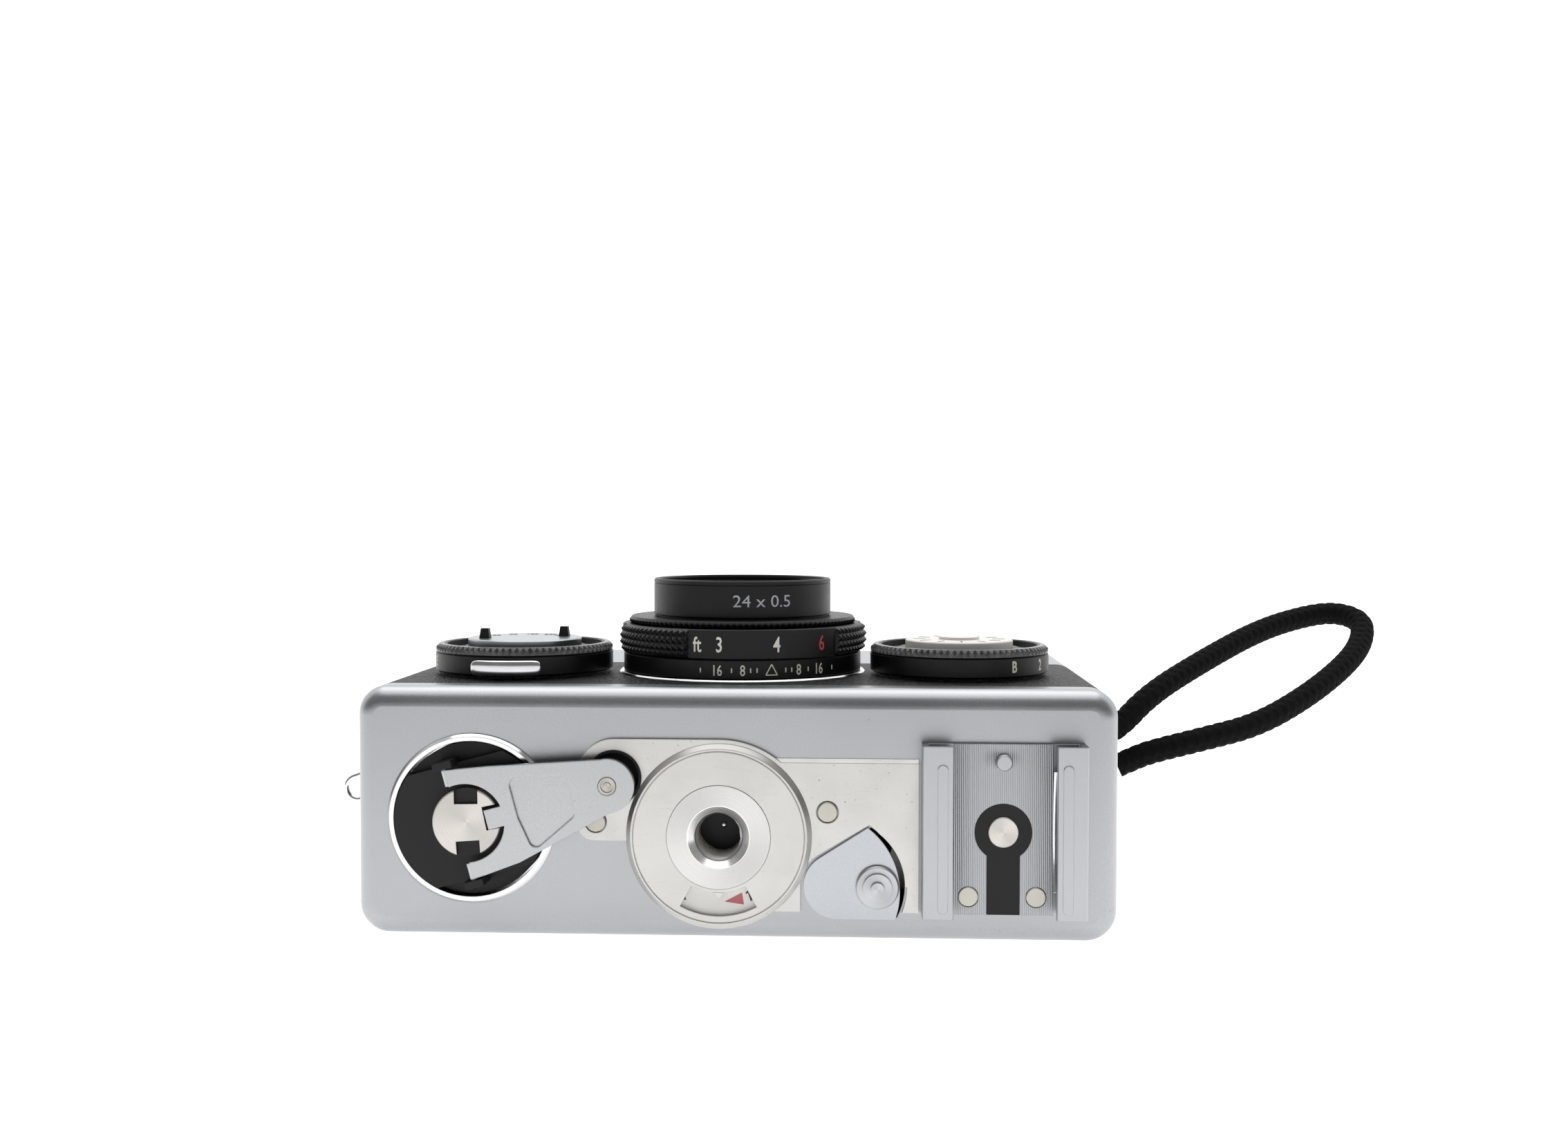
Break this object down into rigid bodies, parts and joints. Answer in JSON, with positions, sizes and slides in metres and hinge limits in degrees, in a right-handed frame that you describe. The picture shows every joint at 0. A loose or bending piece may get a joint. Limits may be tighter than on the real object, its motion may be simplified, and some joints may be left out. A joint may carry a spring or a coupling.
{
  "type": "compact film camera",
  "caption": "Compact 35 mm viewfinder film camera with a collapsing lens, front dials, folding rewind crank, accessory shoe, tripod socket and wrist strap, lying on its back.",
  "frame": {"origin": "middle of the back, the flat face the camera lies on, level with half its width and half its height", "axes": "+X along the camera's width with the tripod socket side towards the viewer, +Y from the base to the top plate, +Z out of the lens"},
  "size_m": [0.1669, 0.0778, 0.0452],
  "materials": {
    "satin_chrome": "satin matt chrome plating on brass sheet",
    "nickel": "worn satin nickel",
    "bright_chrome": "polished chrome",
    "turned_steel": "turned steel end faces",
    "black_leather": "fine pebbled black leatherette",
    "black_paint": "semi-gloss black enamel on metal",
    "black_plastic": "matt black moulding",
    "cast_frame": "blackened die casting",
    "coated_glass": "coated optical glass",
    "numeral_disc": "off-white painted disc",
    "spring_steel": "bright spring steel",
    "cord_black": "braided black cord",
    "cell": "nickel-plated can"
  },
  "bodies": {
    "camera_body": {"chassis": "cast_frame", "front_shell": "satin_chrome", "front_leather": "black_leather", "top_cover": "satin_chrome", "lens_sleeve": "bright_chrome", "finder_glass": "coated_glass", "finder_block": "black_plastic", "eyepiece": "black_plastic", "meter_cell": "coated_glass", "meter_window": "coated_glass", "battery": "cell", "strap_lugs": "bright_chrome"},
    "back": {"back_cover": "satin_chrome", "back_leather": "black_leather", "pressure_plate": "black_paint", "rewind_bezel": "bright_chrome", "crank_pocket": "black_plastic", "base_plate": "nickel", "rivets": "turned_steel", "counter_housing": "nickel", "tripod_bush": "nickel", "shoe_frame": "satin_chrome", "shoe_insulator": "black_plastic", "shoe_contact": "turned_steel", "shoe_spring": "spring_steel"},
    "counter": {"counter_disc": "numeral_disc"},
    "lock": {"lock_lever": "satin_chrome", "lock_knob": "satin_chrome"},
    "rewind": {"rewind_disc": "black_plastic", "rewind_hub": "turned_steel"},
    "crank": {"crank_arm": "satin_chrome", "crank_rivet": "turned_steel"},
    "knob": {"crank_knob": "black_plastic"},
    "spool": {"takeup_spool": "black_plastic"},
    "sprocket": {"film_sprocket": "turned_steel"},
    "lever": {"advance_lever": "bright_chrome"},
    "barrel": {"lens_tube": "bright_chrome"},
    "head": {"depth_ring": "black_paint", "shutter_case": "black_paint", "aperture_blades": "black_paint", "shutter_blades": "black_paint", "rear_element": "coated_glass"},
    "focus": {"focus_ring": "black_paint", "front_ring": "black_paint", "filter_ring": "black_paint", "filter_glass": "coated_glass"},
    "front_group": {"front_cell": "black_paint", "front_element": "coated_glass"},
    "aperture": {"aperture_dial": "black_paint"},
    "film_speed": {"speed_disc": "satin_chrome", "speed_pins": "black_plastic"},
    "aperture_lock": {"lock_tab": "bright_chrome"},
    "shutter_speed": {"shutter_dial": "black_paint"},
    "film_type": {"type_disc": "numeral_disc"},
    "release": {"release_button": "bright_chrome"},
    "lens_release": {"lens_button": "bright_chrome"},
    "needle": {"meter_needle": "black_paint"},
    "ring": {"strap_ring": "spring_steel"},
    "strap": {"strap_clasp": "bright_chrome", "strap_cord": "cord_black"}
  },
  "joints": [
    {"name": "back_slide", "type": "slide", "parent": "camera_body", "child": "back", "axis": [0, -1, 0], "range_m": [0, 0.07]},
    {"name": "back_lock_turn", "type": "hinge", "parent": "back", "child": "lock", "pos_m": [0.0131, -0.03, 0.0072], "axis": [0, 1, 0], "range_deg": [0, 60]},
    {"name": "counter_turn", "type": "hinge", "parent": "back", "child": "counter", "pos_m": [-0.0018, -0.03, 0.0134], "axis": [0, -1, 0], "range_deg": [0, 12]},
    {"name": "rewind_spin", "type": "hinge", "parent": "back", "child": "rewind", "pos_m": [-0.0334, -0.03, 0.0153], "axis": [0, -1, 0], "continuous": true},
    {"name": "crank_fold", "type": "hinge", "parent": "rewind", "child": "crank", "pos_m": [-0.03427, -0.03305, 0.01507], "axis": [0.2605, 0, -0.9655], "range_deg": [0, 180]},
    {"name": "crank_knob_spin", "type": "hinge", "parent": "crank", "child": "knob", "pos_m": [-0.01554, -0.0326, 0.02012], "axis": [0, -1, 0], "continuous": true},
    {"name": "advance_swing", "type": "hinge", "parent": "camera_body", "child": "lever", "pos_m": [0.0334, 0.03, 0.0153], "axis": [0, -1, 0], "range_deg": [0, 130], "stiffness_Nm_per_rad": 0.004},
    {"name": "spool_turn", "type": "hinge", "parent": "camera_body", "child": "spool", "pos_m": [0.0334, 0.03, 0.0153], "axis": [0, -1, 0], "range_deg": [0, 450]},
    {"name": "sprocket_turn", "type": "hinge", "parent": "camera_body", "child": "sprocket", "pos_m": [0.0246, -0.0055, 0.0085], "axis": [0, 1, 0], "range_deg": [0, 360]},
    {"name": "lens_extend", "type": "slide", "parent": "camera_body", "child": "barrel", "axis": [0, 0, 1], "range_m": [0, 0.018]},
    {"name": "lens_twist", "type": "hinge", "parent": "barrel", "child": "head", "pos_m": [-0.0006, -0.0055, 0.032], "axis": [0, 0, 1], "range_deg": [-35, 0]},
    {"name": "focus_turn", "type": "hinge", "parent": "head", "child": "focus", "pos_m": [-0.0006, -0.0055, 0.035], "axis": [0, 0, 1], "range_deg": [-102, 28]},
    {"name": "front_group_travel", "type": "slide", "parent": "focus", "child": "front_group", "axis": [0, 0, 1], "range_m": [-0.00095, 0.00027]},
    {"name": "aperture_turn", "type": "hinge", "parent": "camera_body", "child": "aperture", "pos_m": [-0.0309, -0.009, 0.03245], "axis": [0, 0, 1], "range_deg": [-20, 150]},
    {"name": "film_speed_turn", "type": "hinge", "parent": "aperture", "child": "film_speed", "pos_m": [-0.0309, -0.009, 0.03245], "axis": [0, 0, 1], "range_deg": [-140, 140]},
    {"name": "aperture_lock_press", "type": "slide", "parent": "camera_body", "child": "aperture_lock", "axis": [0, -1, 0], "range_m": [0, 0.0005], "stiffness_N_per_m": 300},
    {"name": "shutter_speed_turn", "type": "hinge", "parent": "camera_body", "child": "shutter_speed", "pos_m": [0.0297, -0.009, 0.03245], "axis": [0, 0, 1], "range_deg": [-30, 240]},
    {"name": "film_type_turn", "type": "hinge", "parent": "shutter_speed", "child": "film_type", "pos_m": [0.0297, -0.009, 0.03245], "axis": [0, 0, 1], "continuous": true},
    {"name": "shutter_press", "type": "slide", "parent": "camera_body", "child": "release", "axis": [0, -1, 0], "range_m": [0, 0.0012], "stiffness_N_per_m": 600},
    {"name": "lens_release_press", "type": "slide", "parent": "camera_body", "child": "lens_release", "axis": [0, -1, 0], "range_m": [0, 0.001], "stiffness_N_per_m": 500},
    {"name": "needle_swing", "type": "hinge", "parent": "camera_body", "child": "needle", "pos_m": [0.0167, 0.028, 0.019], "axis": [0, 1, 0], "range_deg": [-18, 18]},
    {"name": "strap_ring_swing", "type": "hinge", "parent": "camera_body", "child": "ring", "pos_m": [-0.04995, 0.017, 0.0155], "axis": [0, 0, 1], "range_deg": [-60, 60]},
    {"name": "strap_swing", "type": "hinge", "parent": "camera_body", "child": "strap", "pos_m": [0.04995, 0.017, 0.0155], "axis": [0, 0, 1], "range_deg": [-30, 30]}
  ],
  "couplings": [
    {"joint": "counter_turn", "follows": "advance_swing", "ratio": 0.076923},
    {"joint": "spool_turn", "follows": "advance_swing", "ratio": 3.4},
    {"joint": "sprocket_turn", "follows": "advance_swing", "ratio": 2.7691},
    {"joint": "front_group_travel", "follows": "focus_turn", "m_per_rad": 0.000532}
  ]
}
